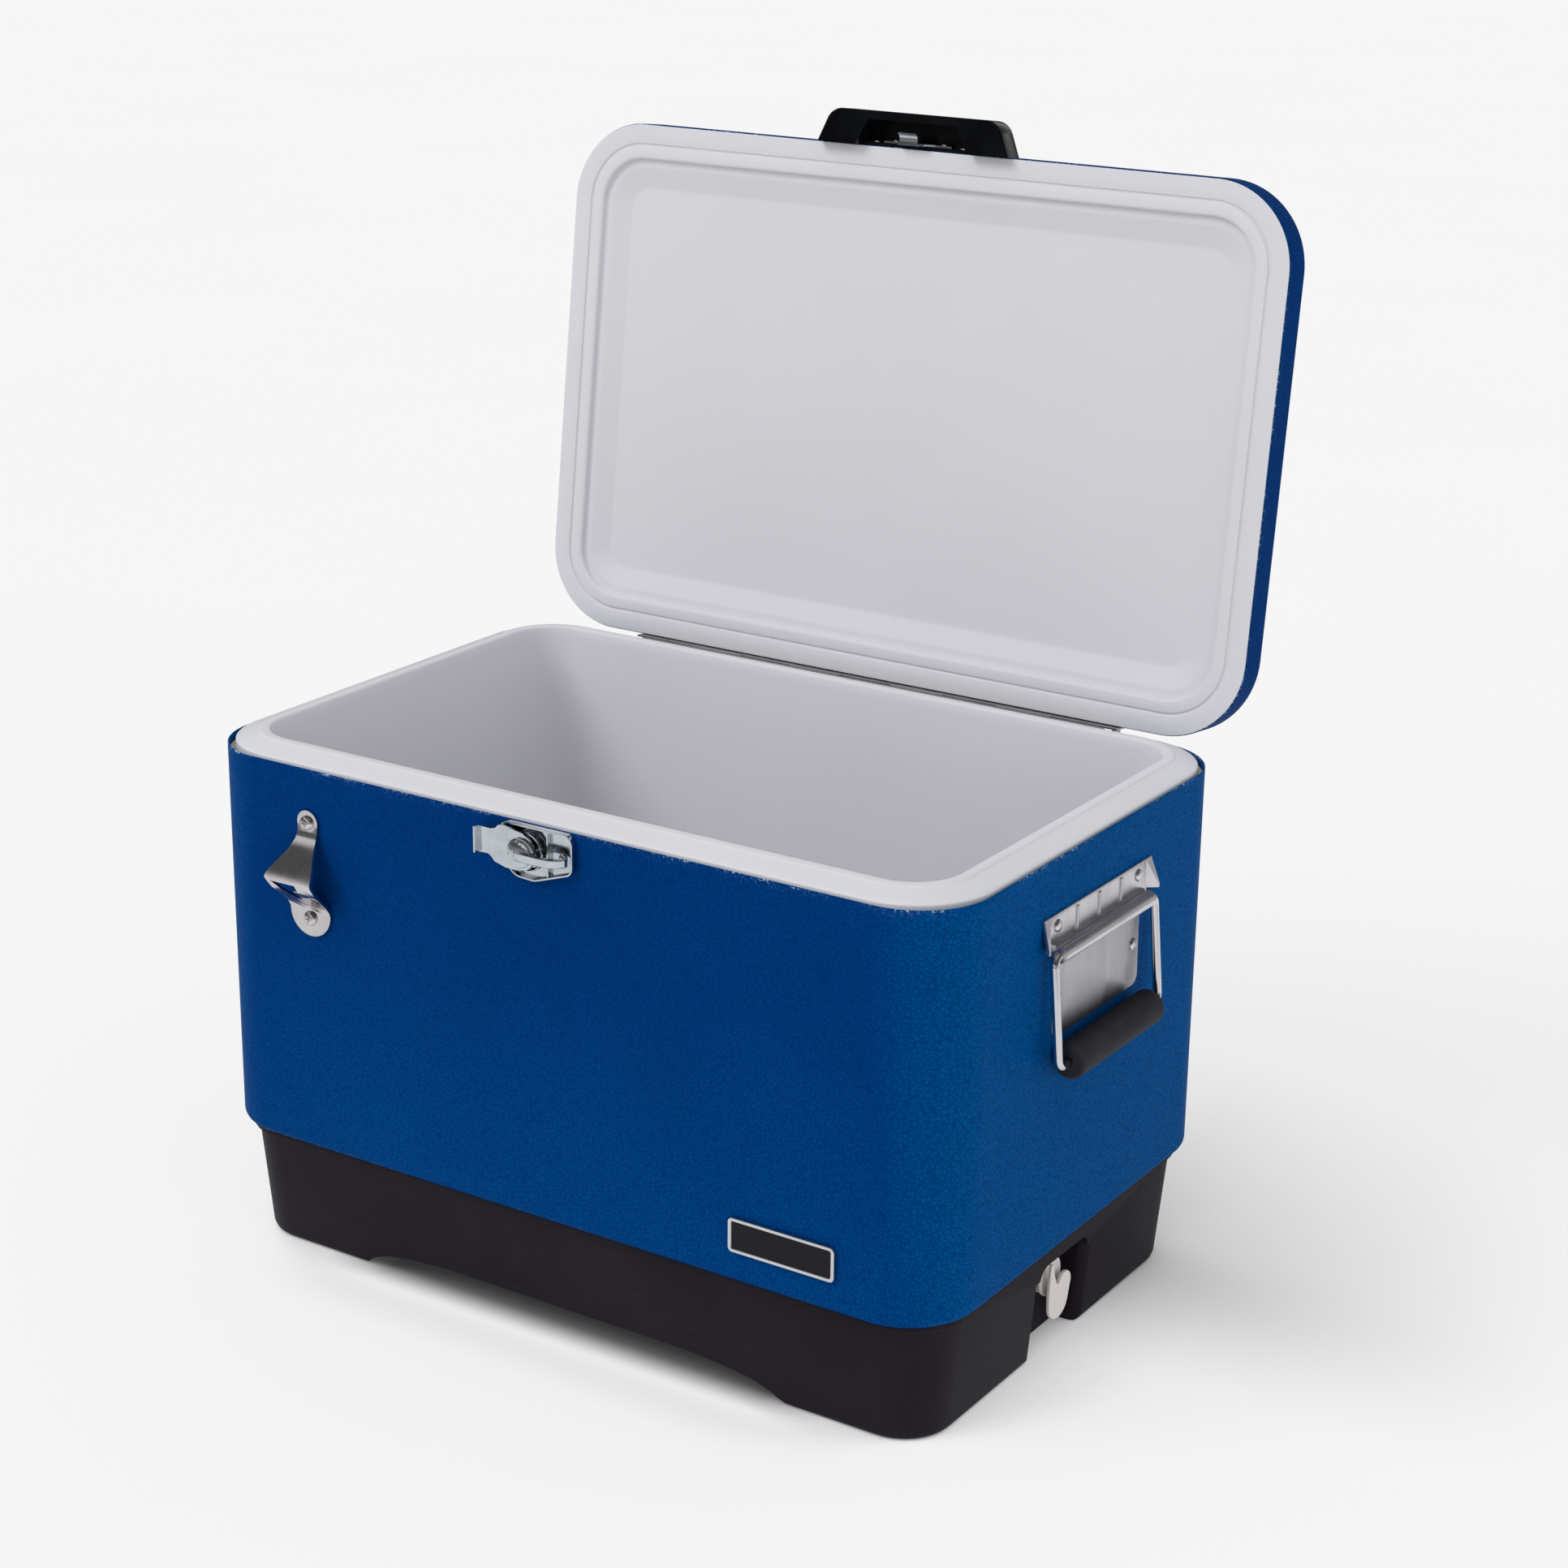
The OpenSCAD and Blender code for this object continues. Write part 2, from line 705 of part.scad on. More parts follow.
// Dished stamping: square shoulders above, a deep curve below
module tray_outline(inset) {
    hull() {
        for (x = [-25.2, 20.2])
            translate([x, belt_top - 6.8])
                circle(r = 6.3 - inset, $fn = 32);
        translate([20, latch_z - 4])
            circle(r = 6.5 - inset, $fn = 32);
        translate([-15, latch_z - 7])
            circle(r = 11.5 - inset, $fn = 32);
        translate([-6, latch_z - 5])
            circle(r = 14 - inset, $fn = 32);
    }
}

module front_plate(y, t) {
    translate([0, y, 0])
        rotate([90, 0, 0])
            linear_extrude(t)
                children();
}

module latch_base() {
    color("#c3c8cc")
        difference() {
            front_plate(-half_w, tray_h) tray_outline(0);
            difference() {
                front_plate(-half_w - 1.2, tray_h) tray_outline(1.3);
                front_plate(-half_w, tray_h - 1)
                    translate([5.4, latch_z - 20])
                        square([1.5, 40]);
            }
            rod_front([latch_x, -half_w + eps, latch_z], stud_r + run_fit, 4);
            for (x = latch_rivet_x)
                rod_front([x, -half_w + eps, latch_z], 2.1, 4);
        }
}

module latch_rivets() {
    color("#cdd0d2")
        for (x = latch_rivet_x)
            translate([x, -half_w - 1.2, latch_z])
                rotate([90, 0, 0])
                    fastener(3.4, 1.5, 2, 4.5);
}

// Coil spring between the tray and the lever
spring_r = 12.9;
spring_wire = 0.88;
spring_turns = 1.75;
spring_steps = 18;

function spring_point(k, j) =
    let (a = k * 360 / spring_steps, b = j * 45, rr = spring_r + spring_wire * cos(b))
    [rr * cos(a), rr * sin(a),
     spring_wire * sin(b) + spring_wire + k * spring_rise / (spring_turns * spring_steps)];

spring_rise = 3.2;
spring_k = spring_turns * spring_steps;

module latch_spring() {
    points = [for (k = [0:spring_k]) for (j = [0:7]) spring_point(k, j)];
    skin = [for (k = [0:spring_k - 1])
                for (j = [0:7])
                    let (n = (j + 1) % 8)
                    [k * 8 + j, k * 8 + n, (k + 1) * 8 + n, (k + 1) * 8 + j]];
    last_ring = floor(spring_k) * 8;
    color("#b7babd")
        translate([latch_x, -half_w - 1.2, latch_z])
            rotate([90, 0, 0])
                polyhedron(points, concat([[for (j = [7:-1:0]) j]],
                                          [[for (j = [0:7]) last_ring + j]], skin),
                           convexity = 8);
}

// Shoulder stud that turns with the lever
module latch_stud() {
    color("#aab0b4")
        translate([latch_x, 0, latch_z])
            rotate([90, 0, 0]) {
                translate([0, 0, half_w - 4])
                    cylinder(r = 4, h = 3, $fn = round_fn);
                translate([0, 0, half_w - 2])
                    cylinder(r = stud_r, h = -latch_head_y - half_w + 2.5, $fn = round_fn);
                translate([0, 0, -latch_head_y])
                    rotate_extrude($fn = round_fn)
                        polygon([[0, 0], [11, 0], [11, 1], [10.3, 1.6], [9.2, 1.8], [8.8, 2.7],
                                 [6.6, 3.7], [3.4, 4.2], [0, 4.3]]);
            }
}

// Lever plate: shouldered body, tongue and lip
lever_half = 12;
tongue_tip = -36.5;

module latch_lever() {
    color("#b4bbc0")
        translate([latch_x, 0, latch_z])
            difference() {
                union() {
                    front_plate(lever_y, lever_t)
                        polygon([[tongue_tip, -5.4], [-27, -5.2], [-24.4, -7], [-22, -9.6],
                                 [-13, -lever_half], [-2, -lever_half], [4, -10.4], [8.6, -7],
                                 [10.8, -3], [11, 2], [9.6, 7], [6, 11], [1, 14], [-8, 15.4],
                                 [-16, 16.6], [-18.6, 16], [-21, 13.4], [-25, 12.4],
                                 [tongue_tip, 12.4]]);
                    translate([tongue_tip, lever_y - 5, -5.4])
                        cube([1.5, 5, 17.8]);
                }
                rod_front([0, lever_y + eps, 0], stud_r, 4);
            }
}

// Blade of the hook: out along the front, then curled back towards the belt
hook_half = 2.9;
hook_face = latch_head_y - 3;

module latch_hook() {
    color("#c4c9cc")
        translate([latch_x, 0, latch_z - hook_half])
            linear_extrude(2 * hook_half)
                polygon([[-3, hook_face], [-2.4, hook_face - 2.6], [0.4, hook_face - 4],
                         [8, hook_face - 4.4], [18, hook_face - 4.2], [26, hook_face - 3],
                         [31, hook_face - 0.6], [34, hook_face + 2.6],
                         [hook_reach + 2, hook_face + 6.2], [hook_reach - 1.6, hook_face + 6.2],
                         [30.4, hook_face + 3.6], [27, hook_face + 1.4], [22, hook_face - 0.4],
                         [14, hook_face - 1.2], [9, hook_face - 1], [7, hook_face]]);
}

// ---- bottle opener ----

opener_x = -199;
opener_z = [264.5, 333.5];
opener_t = 2.2;
opener_low_r = 17.6;
// Front face of the folded strap: [height, distance from the belt, half width]
opener_strap = [[333, opener_t, 8.4], [327, 2.5, 8.4], [322, 4.6, 8.8], [316, 9.2, 10.6],
                [310.5, 14.4, 13.8], [305, 19.8, 17.4], [301, 23.6, 19.4], [298.6, 25.2, 20],
                [296.4, 24.6, 20], [289, 19.4, 19], [282, 11.8, 17.8], [276, 5.8, 17.2],
                [271, 2.6, 17.4], [268.5, opener_t, 17.5]];

module folded_strap(rows) {
    n = len(rows) - 1;
    function back(out) = -half_w - max(out - opener_t - 0.4, 0);
    points = [for (r = rows) each [[-r[2], -half_w - r[1], r[0]], [r[2], -half_w - r[1], r[0]],
                                   [r[2], back(r[1]), r[0]], [-r[2], back(r[1]), r[0]]]];
    sides = [for (i = [0:n - 1]) for (j = [0:3]) let (k = (j + 1) % 4)
                [4 * i + j, 4 * i + k, 4 * i + 4 + k, 4 * i + 4 + j]];
    translate([opener_x, 0, 0])
        polyhedron(points, concat([[3, 2, 1, 0]], [[4 * n, 4 * n + 1, 4 * n + 2, 4 * n + 3]], sides),
                   convexity = 4);
}

module bottle_opener() {
    color("#b8bbbd")
        difference() {
            union() {
                rod_front([opener_x, -half_w, opener_z[1]], 8.8, opener_t);
                folded_strap(opener_strap);
                intersection() {
                    rod_front([opener_x, -half_w, opener_z[0] + 4.6], opener_low_r, opener_t);
                    translate([opener_x - 20, -half_w - 5, opener_z[0] - 20])
                        cube([40, 10, 24.8]);
                }
            }
            translate([opener_x, -half_w - 40, 0])
                rotate([90, 0, 0])
                    translate([0, 0, -60])
                        linear_extrude(60)
                            polygon([[-16, 295.4], [5.6, 295.8], [4.8, 289.8], [1.4, 290.2],
                                     [0.4, 279.4], [-5.8, 284]]);
            translate([opener_x + 10.4, -half_w - 40, 283.4])
                rotate([0, 35, 0])
                    cube([6, 60, 2.2]);
            for (z = opener_z)
                rod_front([opener_x, -half_w + eps, z], 2.2, 30);
            rod_front([opener_x, -half_w - opener_t, opener_z[1]], 6.2, 30);
            rod_front([opener_x, -half_w - opener_t, opener_z[0]], 8, 30);
        }
}

module opener_screws() {
    color("#c9cbcd")
        for (z = opener_z)
            translate([opener_x, -half_w - opener_t, z])
                rotate([90, 0, 0])
                    screw(5.2);
}

// ---- badge ----

badge_l = 80.5;
badge_h = 24.2;
badge_x = 186.6;
badge_z = 124.6;

module badge_slab(y, t, inset) {
    r = 3.4 - min(inset, 3) * 0.8;
    front_plate(y, t)
        hull()
            for (sx = [-1, 1])
                for (sz = [-1, 1])
                    translate([badge_x + sx * (badge_l / 2 - inset - r),
                               badge_z + sz * (badge_h / 2 - inset - r)])
                        circle(r = r, $fn = 32);
}

// Plate with a raised border round a plain sunken field
module badge_plate() {
    color("#1a1a1e")
        difference() {
            badge_slab(-half_w - 0.5, 2.6, 0);
            badge_slab(-half_w - 2.3, 2, 2.4);
        }
}

module badge_pad() {
    color("#8a8a8a")
        badge_slab(-half_w, 0.5, 3);
}

// ---- side handles, drawn at the right end ----

barrel_x = half_l + 7;
barrel_r = 5.6;
barrel_half = 62;
leg_y = 69;
bend_r = 6;
bracket_t = 1.5;
bracket_half = 72.5;
bracket_top = bail_z + 25;
bracket_rivets_at = [[-55.5, bail_z + 17], [55.5, bail_z + 17], [-52.5, bail_z - 31], [52.5, bail_z - 31]];
backplate_t = 1.2;
bail_rest_gap = 0.3;
bail_lean = asin((grip_r + backplate_t + bail_rest_gap + half_l - barrel_x) / bail_drop);

module at_end(side) {
    if (side > 0)
        children();
    else
        mirror([1, 0, 0])
            children();
}

// Corner of the plate that turns outward past the barrel's end
module bracket_flare(side) {
    hull() {
        translate([half_l, side * 67 - 1, bail_z + 5])
            cube([bracket_t, 2, 20]);
        translate([half_l, side * bracket_half - 1, bracket_top - 3])
            cube([bracket_t, 2, 3]);
        translate([half_l + 5.8, side * 75.2 - 0.8, bail_z + 3.8])
            cube([1.5, 1.6, 2.6]);
    }
}

module bracket(side) {
    color("#b4b6b8")
        at_end(side)
            difference() {
                union() {
                    translate([half_l, -68, bail_z + 1])
                        cube([bracket_t, 136, 24]);
                    rod_y([barrel_x, -barrel_half, bail_z], barrel_r, 2 * barrel_half);
                    translate([half_l, -barrel_half, bail_z - 2])
                        cube([4, 2 * barrel_half, 8]);
                    bracket_flare(-1);
                    bracket_flare(1);
                    for (y = [-29.5, 0.5, 30.5])
                        translate([half_l, y, bail_z + 5])
                            linear_extrude(17.5)
                                polygon([[0.8, -2.8], [1.9, -2], [2.6, 0], [1.9, 2], [0.8, 2.8]]);
                }
                rod_y([barrel_x, -90, bail_z], wire_r + run_fit, 180);
                for (i = [0, 1])
                    rod_x([half_l - eps, bracket_rivets_at[i][0], bracket_rivets_at[i][1]], 2.5, 6);
            }
}

module backplate(side) {
    color("#bcbec0")
        at_end(side)
            difference() {
                hull() {
                    translate([half_l, -58, bail_z - 12.4])
                        cube([backplate_t, 118, 10]);
                    for (y = [-50, 54])
                        rod_x([half_l, y, bail_z - 54], 7, backplate_t);
                }
                for (i = [2, 3])
                    rod_x([half_l - eps, bracket_rivets_at[i][0], bracket_rivets_at[i][1]], 2.5, 6);
            }
}

module bracket_rivets(side) {
    color("#d2d3d4")
        at_end(side)
            for (i = [0:3])
                translate([half_l + (i < 2 ? bracket_t : backplate_t), bracket_rivets_at[i][0],
                           bracket_rivets_at[i][1]])
                    rotate([0, 90, 0])
                        fastener(4.2, 1.8, 2.4, 4.5);
}

// The bail hangs a little outward, so that the grip lies against the belt
module bail_pose() {
    translate([barrel_x, 0, bail_z])
        rotate([0, -bail_lean, 0])
            children();
}

module bail(side) {
    run = 2 * (leg_y - bend_r);
    leg = bail_drop - 2 * bend_r;
    color("#c6c8ca")
        at_end(side)
            bail_pose() {
                for (z = [0, -bail_drop])
                    rod_y([0, -run / 2, z], wire_r, run);
                for (s = [-1, 1]) {
                    translate([0, s * leg_y, -bail_drop + bend_r])
                        cylinder(r = wire_r, h = leg, $fn = round_fn);
                    translate([0, s * (leg_y - bend_r), -bend_r])
                        mirror([0, s < 0 ? 1 : 0, 0])
                            bend_up();
                    translate([0, s * (leg_y - bend_r), -bail_drop + bend_r])
                        mirror([0, s < 0 ? 1 : 0, 0])
                            mirror([0, 0, 1])
                                bend_up();
                }
            }
}

// Quarter bend in the YZ plane: top of the circle round to +Y
module bend_up() {
    rotate([90, 0, 90])
        rotate_extrude(angle = 90, $fn = round_fn)
            translate([bend_r, 0])
                circle(r = wire_r, $fn = 32);
}

module grip(side) {
    color("#1c1b1d")
        at_end(side)
            bail_pose()
                translate([0, 0, -bail_drop])
                    difference() {
                        rotate([-90, 0, 0])
                            translate([0, 0, -grip_l / 2])
                                rotate_extrude($fn = round_fn)
                                    polygon([[0, 0], [grip_r - 1.5, 0], [grip_r, 1.5],
                                             [grip_r, grip_l - 1.5], [grip_r - 1.5, grip_l],
                                             [0, grip_l]]);
                        rod_y([0, -grip_l / 2 - eps, 0], wire_r + 0.1, grip_l + 2 * eps);
                    }
}

module bracket_right() { bracket(1); }
module backplate_right() { backplate(1); }
module bracket_rivets_right() { bracket_rivets(1); }
module bail_right() { bail(1); }
module grip_right() { grip(1); }
module bracket_left() { bracket(-1); }
module backplate_left() { backplate(-1); }
module bracket_rivets_left() { bracket_rivets(-1); }
module bail_left() { bail(-1); }
module grip_left() { grip(-1); }

base_pan();
body_shell();
body_foam();
liner_tub();
drain_fitting();
drain_gasket();
drain_nut();
drain_plug();
plug_seal();
hinge_body_leaf();
hinge_pin();
hinge_body_rivets();
lid_shell();
lid_foam();
lid_liner();
hinge_lid_leaf();
hinge_lid_rivets();
lid_handle();
lid_handle_screws();
latch_keeper();
keeper_screws();
latch_base();
latch_rivets();
latch_spring();
latch_stud();
latch_lever();
latch_hook();
bottle_opener();
opener_screws();
badge_plate();
badge_pad();
bracket_right();
backplate_right();
bracket_rivets_right();
bail_right();
grip_right();
bracket_left();
backplate_left();
bracket_rivets_left();
bail_left();
grip_left();
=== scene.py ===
"""Steel-belted cooler chest with its lid open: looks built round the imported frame."""

import json
import math

import bmesh
import bpy
from mathutils import Matrix, Vector


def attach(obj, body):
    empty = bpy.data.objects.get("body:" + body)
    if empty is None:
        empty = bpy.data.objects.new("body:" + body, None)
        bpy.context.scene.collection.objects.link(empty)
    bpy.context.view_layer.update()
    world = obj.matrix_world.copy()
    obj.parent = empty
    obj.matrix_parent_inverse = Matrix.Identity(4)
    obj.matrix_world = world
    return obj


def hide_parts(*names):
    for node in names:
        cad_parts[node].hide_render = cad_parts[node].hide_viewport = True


MM = 0.001
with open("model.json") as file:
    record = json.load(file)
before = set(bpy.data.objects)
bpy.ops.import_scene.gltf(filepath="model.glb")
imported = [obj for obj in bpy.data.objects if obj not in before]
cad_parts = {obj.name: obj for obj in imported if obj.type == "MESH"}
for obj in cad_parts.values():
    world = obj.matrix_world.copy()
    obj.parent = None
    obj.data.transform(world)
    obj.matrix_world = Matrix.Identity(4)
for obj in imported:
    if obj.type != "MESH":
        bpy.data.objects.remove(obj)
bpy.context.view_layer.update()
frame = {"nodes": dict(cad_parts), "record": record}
scene = bpy.context.scene
scene.view_settings.view_transform = "Standard"

# Main dimensions of the chest in millimetres, as the CAD has them
SHELL_L, SHELL_W = 600, 386
BASE_H = 88
BELT_TOP = 371
RIM_TOP = 379
LID_Z = 379.5                   # underside of the closed lid
LID_L, LID_T = 595, 29
AXIS_Y, AXIS_Z = 195.9, 369.2   # hinge axis
LID_OPEN = math.radians(97)

# Angles in degrees past which an edge is drawn sharp, or is rounded over
SHARP_ANGLE = 38
BEVEL_ANGLE = 32


# ---------------------------------------------------------------- camera
def look_from(azimuth, elevation, roll, target, distance, lens):
    """A camera from angles in degrees, with its target, distance and lens in millimetres."""
    az, el, ro = (math.radians(a) for a in (azimuth, elevation, roll))
    back = Vector((math.sin(az) * math.cos(el), -math.cos(az) * math.cos(el), math.sin(el)))
    right = Vector((math.cos(az), math.sin(az), 0))
    up = back.cross(right)
    right, up = (right * math.cos(ro) + up * math.sin(ro),
                 up * math.cos(ro) - right * math.sin(ro))
    data = bpy.data.cameras.new("camera")
    data.sensor_width = 36
    data.lens = lens
    data.clip_start, data.clip_end = 0.05, 60
    cam = bpy.data.objects.new("camera", data)
    scene.collection.objects.link(cam)
    place = Vector(target) * MM + back * distance * MM
    turn = Matrix((right, up, back)).transposed().to_4x4()
    cam.matrix_world = Matrix.Translation(place) @ turn
    scene.camera = cam


look_from(azimuth=32.955, elevation=18.766, roll=0.6685,
          target=(16.6, 64.6, 331.1), distance=2227.9, lens=72.37)


# ---------------------------------------------------------------- materials
class Nodes:
    """A short way to wire a material."""

    def __init__(self, name):
        self.mat = bpy.data.materials.new(name)
        self.mat.use_nodes = True
        self.tree = self.mat.node_tree
        self.shader = self.tree.nodes["Principled BSDF"]
        self.coords = self.add("ShaderNodeTexCoord").outputs["Object"]

    def add(self, kind, links=None, **settings):
        node = self.tree.nodes.new(kind)
        for key, value in settings.items():
            setattr(node, key, value)
        for key, value in (links or {}).items():
            if isinstance(value, bpy.types.NodeSocket):
                self.tree.links.new(value, node.inputs[key])
            else:
                node.inputs[key].default_value = value
        return node

    def base(self, **values):
        for key, value in values.items():
            self.shader.inputs[key.replace("_", " ")].default_value = value

    def drive(self, socket, value):
        self.tree.links.new(value, self.shader.inputs[socket])

    def stretched(self, scale):
        return self.add("ShaderNodeMapping", {"Vector": self.coords, "Scale": scale}).outputs[0]

    def noise(self, scale, detail=2.0, rough=0.5, vector=None):
        return self.add("ShaderNodeTexNoise", {"Vector": vector or self.coords, "Scale": scale,
                                               "Detail": detail, "Roughness": rough}).outputs["Fac"]

    def cells(self, scale, feature="F1", vector=None):
        return self.add("ShaderNodeTexVoronoi", {"Vector": vector or self.coords, "Scale": scale},
                        feature=feature).outputs["Distance"]

    def span(self, value, low, high, out_low=0.0, out_high=1.0, smooth=False):
        node = self.add("ShaderNodeMapRange", {"Value": value, "From Min": low, "From Max": high,
                                               "To Min": out_low, "To Max": out_high})
        if smooth:
            node.interpolation_type = "SMOOTHSTEP"
        return node.outputs["Result"]

    def math(self, kind, a, b=0.0):
        return self.add("ShaderNodeMath", {0: a, 1: b}, operation=kind).outputs[0]

    def mix(self, factor, a, b):
        node = self.add("ShaderNodeMix", data_type="RGBA")
        for socket, value in ((0, factor), (6, a), (7, b)):
            if isinstance(value, bpy.types.NodeSocket):
                self.tree.links.new(value, node.inputs[socket])
            else:
                node.inputs[socket].default_value = value
        return node.outputs[2]

    def bump(self, *layers):
        """Layers of (height, strength, depth in millimetres), one over another."""
        normal = None
        for height, strength, depth in layers:
            links = {"Height": height, "Strength": strength, "Distance": depth * MM}
            if normal is not None:
                links["Normal"] = normal
            normal = self.add("ShaderNodeBump", links).outputs[0]
        self.drive("Normal", normal)

    def axis(self, vector, name):
        return self.add("ShaderNodeSeparateXYZ", {0: vector}).outputs[name]


def rgb(r, g, b):
    return (r, g, b, 1.0)


def dimmed(tone, share):
    return rgb(*[c * share for c in tone[:3]])


def grey(level):
    return rgb(level, level, level)


BLUE_DARK = rgb(0.0002, 0.0350, 0.168)
BLUE_LIGHT = rgb(0.0004, 0.0395, 0.186)
# Lighter, greener blue painted where more light falls on the belt
BLUE_PAINTED_LIT = rgb(0.0003, 0.0800, 0.275)
BARE_EDGE_AND_GLINT = rgb(0.42, 0.60, 0.75)


def blue_enamel():
    """Painted steel with a pebbled grain, and pale flecks along its folded edges: wear of bare
    metal, with painted glints.
    """
    n = Nodes("blue_enamel")
    n.base(IOR=1.055, Specular_Tint=rgb(0.0, 0.22, 0.75))
    warp = n.add("ShaderNodeTexNoise", {"Vector": n.coords, "Scale": 160.0, "Detail": 2.0})
    bent = n.add("ShaderNodeMix", data_type="RGBA", blend_type="LINEAR_LIGHT")
    n.tree.links.new(n.coords, bent.inputs[6])
    n.tree.links.new(warp.outputs["Color"], bent.inputs[7])
    bent.inputs[0].default_value = 0.0016
    grain = n.span(n.cells(330.0, "DISTANCE_TO_EDGE", bent.outputs[2]), 0.0, 0.22, smooth=True)
    pores = n.noise(900.0, 3.0, 0.6)
    waves = n.noise(9.0, 2.0)
    body = n.mix(n.span(waves, 0.3, 0.7), BLUE_DARK, BLUE_LIGHT)
    # Painted light: the belt's ends and its foot are painted a lighter, greener blue where more
    # light falls on them; the lid stays deep blue
    height = n.axis(n.coords, "Z")
    normal = n.add("ShaderNodeNewGeometry").outputs["Normal"]
    painted_light_ends = n.math("ABSOLUTE", n.axis(normal, "X"))
    painted_light = n.math("MAXIMUM", painted_light_ends, n.span(height, 0.10, 0.28, 0.36, 0.0))
    painted_light = n.math("MULTIPLY", painted_light, n.span(height, 0.372, 0.380, 1.0, 0.0))
    body = n.mix(painted_light, body, BLUE_PAINTED_LIT)
    # Painted shade: the grain's creases are painted a darker blue
    crease_shade = n.math("MULTIPLY", n.math("SUBTRACT", 1.0, grain), 0.55)
    body = n.mix(crease_shade, body, dimmed(BLUE_DARK, 0.62))
    edge = n.add("ShaderNodeAttribute", attribute_name="edge_wear_and_glint").outputs["Fac"]
    chips_and_glints = n.span(n.noise(420.0, 4.0, 0.8), 0.55, 0.60)
    runs = n.span(n.noise(16.0, 2.0), 0.44, 0.56)
    # Pale flecks along the marked edges: bare-metal wear, with painted glints
    wear_and_glint = n.math("MULTIPLY", n.math("MULTIPLY", chips_and_glints, runs), edge)
    n.drive("Base Color", n.mix(wear_and_glint, body, BARE_EDGE_AND_GLINT))
    n.drive("Roughness", n.span(pores, 0.3, 0.7, 0.42, 0.58))
    n.bump((grain, 0.42, 0.26), (pores, 0.18, 0.12), (waves, 0.10, 1.2))
    return n.mat


def white_plastic(name, tone, gloss, sheen_marks=True):
    n = Nodes(name)
    n.base(Specular_IOR_Level=0.35)
    cloud = n.noise(7.0, 3.0)
    fine = n.noise(1100.0, 2.0)
    n.drive("Base Color", n.mix(n.span(cloud, 0.3, 0.7), dimmed(tone, 0.975), rgb(*tone)))
    n.drive("Roughness", n.span(cloud, 0.3, 0.7, gloss, gloss + 0.10))
    n.bump((fine, 0.05, 0.08), (cloud, 0.10 if sheen_marks else 0.04, 0.9))
    return n.mat


def black_base():
    n = Nodes("black_base")
    n.base(Specular_IOR_Level=0.12)
    grit = n.noise(1500.0, 3.0, 0.65)
    cloud = n.noise(14.0, 3.0)
    scuffs = n.span(n.noise(60.0, 4.0, 0.7, n.stretched((1.0, 1.0, 5.0))), 0.62, 0.76)
    body = n.mix(n.span(cloud, 0.3, 0.7), rgb(0.0085, 0.0060, 0.0105), rgb(0.0122, 0.0090, 0.0148))
    n.drive("Base Color", n.mix(n.math("MULTIPLY", scuffs, 0.28), body, rgb(0.040, 0.036, 0.044)))
    n.drive("Roughness", n.span(grit, 0.3, 0.7, 0.52, 0.68))
    n.bump((grit, 0.30, 0.14), (cloud, 0.10, 0.8))
    return n.mat


def black_handle():
    n = Nodes("black_handle")
    n.base(Specular_IOR_Level=0.20)
    grit = n.noise(900.0, 2.0)
    cloud = n.noise(30.0, 3.0, 0.6)
    n.drive("Base Color", n.mix(n.span(cloud, 0.35, 0.7),
                                rgb(0.0008, 0.0011, 0.0020), rgb(0.0022, 0.0028, 0.0042)))
    n.drive("Roughness", n.span(cloud, 0.3, 0.7, 0.16, 0.30))
    n.bump((grit, 0.08, 0.08), (cloud, 0.12, 0.5))
    return n.mat


def metal(name, tone, rough, brush, grain, patches, depth=0.03, blotch=38.0):
    """Bare or plated metal. Brush is the stretch of its brushing in x, y and z, or None.

    Grain and patches add roughness along the brushing and in dull patches, depth is the
    brushing's in millimetres, and blotch is how fine the patches are.
    """
    n = Nodes(name)
    n.base(Metallic=1.0)
    cloud = n.noise(blotch, 3.0, 0.6)
    lines = n.noise(60.0, 3.0, 0.6, n.stretched(brush)) if brush else n.noise(700.0, 3.0, 0.6)
    dull = dimmed(tone, 1 - patches * 2.2)
    n.drive("Base Color", n.mix(n.span(cloud, 0.32, 0.68), dull, rgb(*tone)))
    spread = n.math("ADD", n.span(lines, 0.3, 0.7, 0, grain), n.span(cloud, 0.3, 0.7, 0, patches))
    n.drive("Roughness", n.math("ADD", spread, rough))
    n.bump((lines, 0.35, depth), (cloud, 0.15, 0.25))
    return n.mat


def foam_rubber():
    n = Nodes("foam_rubber")
    n.base(Specular_IOR_Level=0.22)
    pores = n.span(n.cells(1400.0), 0.1, 0.6)
    cloud = n.noise(60.0, 4.0, 0.7)
    n.drive("Base Color", n.mix(n.span(cloud, 0.35, 0.7),
                                rgb(0.017, 0.017, 0.023), rgb(0.034, 0.033, 0.042)))
    n.drive("Roughness", n.span(cloud, 0.3, 0.7, 0.66, 0.82))
    n.bump((pores, 0.35, 0.12), (cloud, 0.25, 0.35))
    return n.mat


def dark_rubber():
    n = Nodes("dark_rubber")
    n.base(Specular_IOR_Level=0.3)
    grit = n.noise(1200.0, 2.0)
    n.drive("Base Color", n.mix(grit, rgb(0.012, 0.012, 0.013), rgb(0.026, 0.026, 0.028)))
    n.drive("Roughness", n.span(grit, 0.3, 0.7, 0.6, 0.75))
    n.bump((grit, 0.2, 0.08))
    return n.mat


def foam_core():
    n = Nodes("foam_core")
    cells = n.cells(500.0)
    n.base(Roughness=0.85)
    n.drive("Base Color", n.mix(n.span(cells, 0.1, 0.6),
                                rgb(0.66, 0.60, 0.44), rgb(0.80, 0.75, 0.58)))
    n.bump((cells, 0.4, 0.3))
    return n.mat


def badge_field():
    n = Nodes("badge_field")
    n.base(Specular_IOR_Level=0.12)
    lines = n.noise(90.0, 2.0, 0.5, n.stretched((1.0, 1.0, 14.0)))
    n.drive("Base Color", n.mix(lines, rgb(0.006, 0.005, 0.007), rgb(0.013, 0.011, 0.015)))
    n.drive("Roughness", n.span(lines, 0.3, 0.7, 0.28, 0.40))
    n.bump((lines, 0.15, 0.05))
    return n.mat


